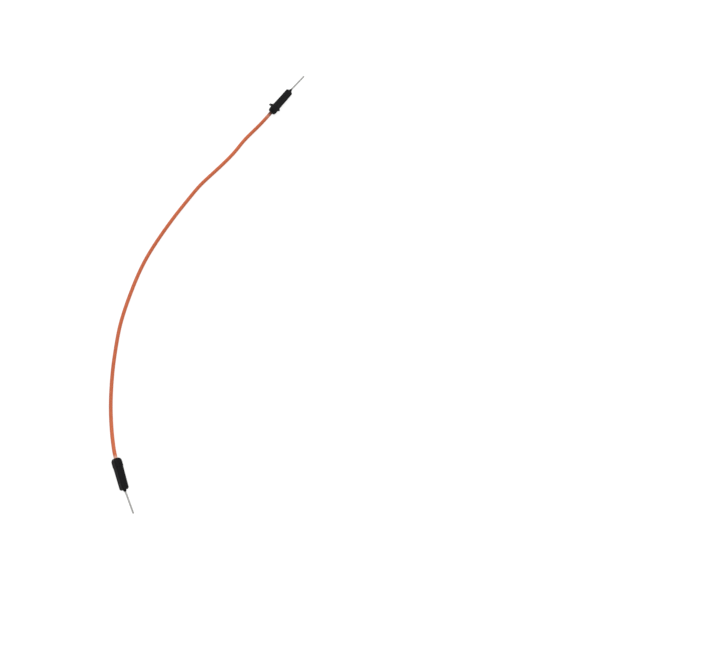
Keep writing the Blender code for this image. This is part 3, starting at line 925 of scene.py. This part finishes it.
@dataclass
class Plug:
    """One end of the lead: how it lies, and the housing and the pin that stand for its solids."""

    end: End
    turn_deg: float
    roll_deg: float
    tilt_deg: float
    lean_deg: float
    rear_place: Triple
    nub_torn: Pair
    nub_push: float
    fins: tuple[Flash, ...]
    heading_deg: float = 69.3
    seed_base: float = 0.7
    seed_step: float = 2.1
    mould: HousingMould = field(default_factory=HousingMould)
    pin: ContactPin = field(default_factory=ContactPin)

    def pose(self) -> Matrix:
        """Return the matrix that carries the plug's frame into the row frame."""
        away = self.heading_deg if self.end is End.A else self.heading_deg + 180.0
        angles = (self.roll_deg, self.tilt_deg, away + self.turn_deg)
        turn = Euler([math.radians(a) for a in angles], "XYZ").to_matrix().to_4x4()
        return Matrix.Translation(self.rear_place) @ turn

    def axis(self) -> Array:
        """Return the direction in which the plug points."""
        return np.array(self.pose())[:3, 0]

    def build(self, black: Material, tin: Material) -> list[Object]:
        """Make the housing and the pin.

        Args:
            black: the housing's finish.
            tin: the pin's finish.

        Returns:
            The housing and the pin, riding on the part.
        """
        letter = self.end.letter
        roll = math.radians(self.roll_deg)
        push = (self.nub_push * math.cos(roll), -self.nub_push * math.sin(roll))
        seed = self.seed_base + self.seed_step * self.end.value
        rings, facts = self.mould.skin(self.fins, self.nub_torn, push, seed)
        housing = shell_object(f"housing_{letter}", placed(rings, self.pose()), True, facts, black)
        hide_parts(f"plug_{letter}_housing")
        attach(housing, "root")
        lean = math.radians(self.lean_deg)
        rings, facts = self.pin.skin(lean, self.nub_push, self.mould.push_ends)
        level = self.pose() @ Matrix.Rotation(-roll, 4, "X")
        pin = shell_object(f"pin_{letter}", placed(rings, level), False, facts, tin)
        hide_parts(f"plug_{letter}_pin")
        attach(pin, "root")
        for piece in (housing, pin):
            LOG.info("%s: %d faces", piece.name, len(piece.data.polygons))
        return [housing, pin]


# The lead between the plugs


@dataclass
class Jacket:
    """The insulation: a tube on one smooth route from inside plug A to inside plug B.

    route holds shares: of the way along the straight line from plug A's rear face to plug B's, and
    of the bow to its side. Its first and last places climb from the surface to a plug, by the
    shares climb_a and climb_b.
    """

    start: Plug
    finish: Plug
    diameter: float = 1.40 * MM
    skin_radius: float = 0.696 * MM
    bore_radius: float = 0.372 * MM
    bow: float = 22.2 * MM
    rest_gap: float = 0.01 * MM
    grip: float = 4.0 * MM
    spacing: float = 0.40 * MM
    substeps: int = 40
    around: int = 32
    route: tuple[Pair, ...] = (
        (0.0254, 0.0584), (0.0499, 0.1260), (0.0728, 0.1926), (0.1011, 0.2648),
        (0.1344, 0.3244), (0.1769, 0.4228), (0.2209, 0.5465), (0.2638, 0.6633),
        (0.3060, 0.7432), (0.3478, 0.8148), (0.4006, 0.8919), (0.4456, 0.9454),
        (0.4921, 0.9858), (0.5434, 0.9991), (0.5925, 0.9846), (0.6415, 0.9558),
        (0.6920, 0.9038), (0.7440, 0.8144), (0.7920, 0.7160), (0.8390, 0.6008),
        (0.8869, 0.4640), (0.9258, 0.3310), (0.9503, 0.2346), (0.9767, 0.1192),
    )
    climb_a: tuple[float, ...] = (0.759, 0.384, 0.148, 0.030)
    climb_b: tuple[float, ...] = (0.085, 0.333, 0.704)

    def knots(self) -> Array:
        """Return the knots of the route in the row frame, rear face to rear face."""
        start, finish = (np.array(plug.rear_place) for plug in (self.start, self.finish))
        line = (finish - start)[:2]
        aside = np.array([line[1], -line[0]]) / np.linalg.norm(line)
        along, bow = np.array(self.route).T[..., None]
        flat = len(along) - len(self.climb_a) - len(self.climb_b)
        climb = np.array([*self.climb_a, *[0.0] * flat, *self.climb_b])[:, None]
        lie = self.diameter / 2 + self.rest_gap
        near = np.where(along < 0.5, start[2], finish[2])
        place = start[:2] + along * line + bow * self.bow * aside
        return np.vstack([start, np.hstack([place, lie + climb * (near - lie)]), finish])

    def path(self) -> Array:
        """Return closely spaced points down the middle of the insulation, end to end.

        Between the rear faces it is a cubic spline through the knots with the plugs' directions at
        its ends: its tangents m solve h1 m0 + 2 (h0 + h1) m1 + h0 m2 = 3 (h1 d0 + h0 d1), with h
        the spans and d the slopes. Within the housings it is straight.
        """
        knots = self.knots()
        leave, arrive = -self.start.axis(), self.finish.axis()
        spans = np.linalg.norm(np.diff(knots, axis=0), axis=1)
        slopes = np.diff(knots, axis=0) / spans[:, None]
        count = len(knots)
        before, after = spans[:-1], spans[1:]
        inner = np.arange(1, count - 1)
        system = np.eye(count)
        system[inner, inner - 1] = after
        system[inner, inner] = 2.0 * (before + after)
        system[inner, inner + 1] = before
        target = np.vstack(
            [leave, 3.0 * (after[:, None] * slopes[:-1] + before[:, None] * slopes[1:]), arrive]
        )
        tangents = np.linalg.solve(system, target)
        t = np.linspace(0.0, 1.0, self.substeps, endpoint=False)[None, :, None]
        span = spans[:, None, None]
        low, high = knots[:-1, None], knots[1:, None]
        fine = (
            (2 * t**3 - 3 * t**2 + 1) * low
            + (t**3 - 2 * t**2 + t) * span * tangents[:-1, None]
            + (3 * t**2 - 2 * t**3) * high
            + (t**3 - t**2) * span * tangents[1:, None]
        ).reshape(-1, 3)
        first, last = knots[0] - leave * self.grip, knots[-1] + arrive * self.grip
        fine = np.vstack([first, fine, knots[-1:], last])
        along = distances(fine)
        steps = np.linspace(0.0, along[-1], math.ceil(along[-1] / self.spacing) + 1)
        return np.column_stack([np.interp(steps, along, part) for part in fine.T])

    def rings(self, middle: Array, side: Array, up: Array) -> Array:
        """Return the rings along the outside and back through the bore.

        Each is the circle c + r (cos a * side + sin a * up) about a point c of the middle line.
        """
        turn = np.linspace(0.0, 2.0 * math.pi, self.around, endpoint=False)[None, :, None]
        circle = np.cos(turn) * side[:, None] + np.sin(turn) * up[:, None]
        outer = middle[:, None] + self.skin_radius * circle
        inner = middle[:, None] + self.bore_radius * circle
        return np.concatenate([outer, inner[::-1]], axis=0)

    def build(self, vinyl: Material, far_pieces: list[Object]) -> Object:
        """Its rings stand on the path, with side level and up at right angles to it and to the path.
        The finish reads the place on the same tube laid straight, in millimetres.

        Args:
            vinyl: the finish.
            far_pieces: not used.

        Returns:
            The insulation, riding on the part.
        """
        path = self.path()
        ways = np.gradient(path, axis=0)
        ways /= np.linalg.norm(ways, axis=1)[:, None]
        side = np.cross((0.0, 0.0, 1.0), ways)
        side /= np.linalg.norm(side, axis=1)[:, None]
        up = np.cross(ways, side)
        rings = self.rings(path, side, up)
        along = distances(path)
        x, y, z = np.eye(3)
        local = self.rings(along[:, None] * x, y[None], z[None]) / MM
        facts = {
            "lead_mm": local,
            "from_a_mm": local[..., 0] - self.grip / MM,
            "from_b_mm": (along[-1] - self.grip) / MM - local[..., 0],
        }
        jacket = shell_object("insulation", rings, True, facts, vinyl)
        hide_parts("wire_insulation")
        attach(jacket, "root")
        faces = len(jacket.data.polygons)
        LOG.info("insulation: %.1f mm long, %d faces", along[-1] / MM, faces)
        return jacket


@dataclass
class HiddenMetal:
    """The crimp sleeves and the strands, which keep the shapes of their solids."""

    strand_names: tuple[str, ...] = ("centre", "1", "2", "3", "4", "5", "6")

    def dress(self) -> list[Object]:
        """Give the solids their finishes.

        Returns:
            The strands' objects and plug B's sleeve, which go with the wire.
        """
        brass = SLEEVE_BRASS.dress("sleeve_brass")
        copper = STRAND_COPPER.dress("strand_copper")
        strands = [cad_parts[f"wire_strand_{name}"] for name in self.strand_names]
        sleeves = [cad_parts[f"plug_{end.letter}_crimp_sleeve"] for end in End]
        for pieces, finish in ((strands, copper), (sleeves, brass)):
            for piece in pieces:
                piece.data.materials.clear()
                piece.data.materials.append(finish)
                LOG.info("%s: kept as it is", piece.name)
        return [*strands, sleeves[1]]


# Studio


@dataclass
class Studio:
    """A white table top under soft light, and the camera above it."""

    camera_place: Triple = (0.056804, -0.106830, 0.330288)
    camera_angles_deg: Triple = (14.620, -0.015, 0.183)
    lens: float = 44.83
    sensor: float = 36.0
    clips: Pair = (0.01, 10.0)
    floor_half: float = 2.0
    floor_white: float = 0.86
    floor_cloud: float = 0.012
    floor_glow: float = 1.16
    floor_own_share: float = 0.75
    wall_glow: float = 1.0
    wall_rise: Pair = (0.25, 0.85)
    ceiling_glow: float = 0.62
    window_way: Triple = (0.30, 0.95, 0.0)
    window_share: float = 0.26
    lamps: tuple[tuple[Triple, float, float], ...] = (
        ((-0.45, 0.25, 0.60), 0.45, 1.6),
        ((0.38, 0.42, 0.62), 0.40, 1.9),
    )

    @staticmethod
    def seen(tree: ShaderTree) -> Signal:
        """Return 1 for a ray from the camera or off metal or through glass, 0 for the rest."""
        seen = tree.add("ShaderNodeLightPath", out="Is Camera Ray")
        sockets = seen.socket.node.outputs
        for name in ("Is Glossy Ray", "Is Transmission Ray"):
            seen = seen + Signal(tree, sockets[name])
        return seen.clipped()

    def camera(self) -> None:
        """Make the camera and give it to the scene."""
        data = bpy.data.cameras.new("camera")
        data.sensor_fit = "HORIZONTAL"
        data.sensor_width = self.sensor
        data.lens = self.lens
        data.clip_start, data.clip_end = self.clips
        camera = linked("camera", data)
        camera.location = self.camera_place
        camera.rotation_euler = [math.radians(a) for a in self.camera_angles_deg]
        bpy.context.scene.camera = camera

    def table_top(self) -> None:
        """Make the table top. To the camera it is partly lit by itself, so shadows stay soft."""
        material, tree = fresh_material("table_top")
        place = tree.add("ShaderNodeTexCoord", out="Object")
        cloud = tree.noise(place, 9.0, 2.0)
        darker = self.floor_white - self.floor_cloud
        white = tree.blend(cloud, (self.floor_white,) * 3, (darker,) * 3)
        matt = tree.add("ShaderNodeBsdfDiffuse", None, {"Color": white}, out="BSDF")
        plain = {"Color": (1.0, 1.0, 1.0, 1.0), "Strength": self.floor_glow}
        glow = tree.add("ShaderNodeEmission", None, plain)
        share = self.seen(tree) * self.floor_own_share
        shader = tree.add("ShaderNodeMixShader", None, {0: share, 1: matt, 2: glow})
        tree.add("ShaderNodeOutputMaterial", None, {"Surface": shader})
        half = self.floor_half
        corners = np.array([(-1, -1, 0), (1, -1, 0), (1, 1, 0), (-1, 1, 0)], dtype=float) * half
        mesh = bpy.data.meshes.new("table_top")
        mesh.from_pydata(corners.tolist(), [], [(0, 1, 2, 3)])
        mesh.materials.append(material)
        table = linked("table_top", mesh)

    def light(self) -> None:
        """Make the world and two soft lamps.

        To the camera, and in metal, the world is plain white. Its light is white from the walls,
        darker from overhead and brighter from one side: window_share * (direction . window_way)
        is added to its strength.
        """
        world = bpy.data.worlds.new("studio")
        bpy.context.scene.world = world
        tree = ShaderTree(world)
        way = tree.add("ShaderNodeTexCoord", out="Generated")
        upward = tree.split(way)[2]
        dot = {"operation": "DOT_PRODUCT"}
        aside = tree.add("ShaderNodeVectorMath", dot, {0: way, 1: self.window_way}, "Value")
        drop = self.wall_glow - self.ceiling_glow
        given = self.wall_glow - upward.ramp(*self.wall_rise) * drop
        given = given + aside * self.window_share
        strength = given + self.seen(tree) * (1.0 - given)
        colour = {"Color": (1.0, 1.0, 1.0, 1.0), "Strength": strength}
        background = tree.add("ShaderNodeBackground", None, colour)
        tree.add("ShaderNodeOutputWorld", None, {"Surface": background})
        for number, (place, size, power) in enumerate(self.lamps):
            data = bpy.data.lights.new(f"lamp_{number}", "AREA")
            data.shape = "DISK"
            data.size = size
            data.energy = power
            lamp = linked(f"lamp_{number}", data)
            lamp.location = place
            lamp.rotation_euler = (-Vector(place)).to_track_quat("-Z", "Y").to_euler()
        bpy.context.scene.view_settings.view_transform = "Standard"

    def build(self) -> None:
        """Make the whole studio."""
        self.camera()
        self.table_top()
        self.light()
        height = 90.0 - self.camera_angles_deg[0]
        LOG.info("studio: camera %.0f degrees above the table", height)


def main() -> None:
    """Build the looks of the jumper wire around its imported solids."""
    logging.basicConfig(level=logging.INFO, format="%(message)s")
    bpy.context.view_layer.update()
    Studio().build()
    plug_a = Plug(
        End.A,
        turn_deg=-16.2,
        roll_deg=21.0,
        tilt_deg=1.653561,
        lean_deg=-2.2,
        rear_place=(0.0207606, 0.0717083, 0.0019710),
        nub_torn=(0.0, 0.05),
        nub_push=0.0,
        fins=(
            Flash(Side.LEFT, 2.46 * MM, 1.03 * MM, 0.56 * MM, 0.45 * MM, 2.6, blunt=True),
            Flash(Side.RIGHT, 2.86 * MM, 0.50 * MM, 0.50 * MM, 0.10 * MM, 1.2),
        ),
    )
    plug_b = Plug(
        End.B,
        turn_deg=39.8,
        roll_deg=45.0,
        tilt_deg=1.701778,
        lean_deg=4.1,
        rear_place=(-0.0322606, -0.0686083, 0.0020019),
        nub_torn=(0.26, 0.48),
        nub_push=0.18 * MM,
        fins=(
            Flash(Side.LEFT, 2.50 * MM, 0.15 * MM, 0.45 * MM, blunt=True),
            Flash(Side.RIGHT, 2.50 * MM, 0.20 * MM, 0.40 * MM),
        ),
        pin=ContactPin(smear_reach=0.05 * MM),
    )
    inner = HiddenMetal().dress()
    black = MouldedBlack().dress("housing_black")
    tin = TinPlate().dress("pin_tin")
    plug_a.build(black, tin)
    far = plug_b.build(black, tin)
    Jacket(plug_a, plug_b).build(JacketVinyl().dress("jacket_vinyl"), far + inner)


if __name__ == "__main__":
    main()
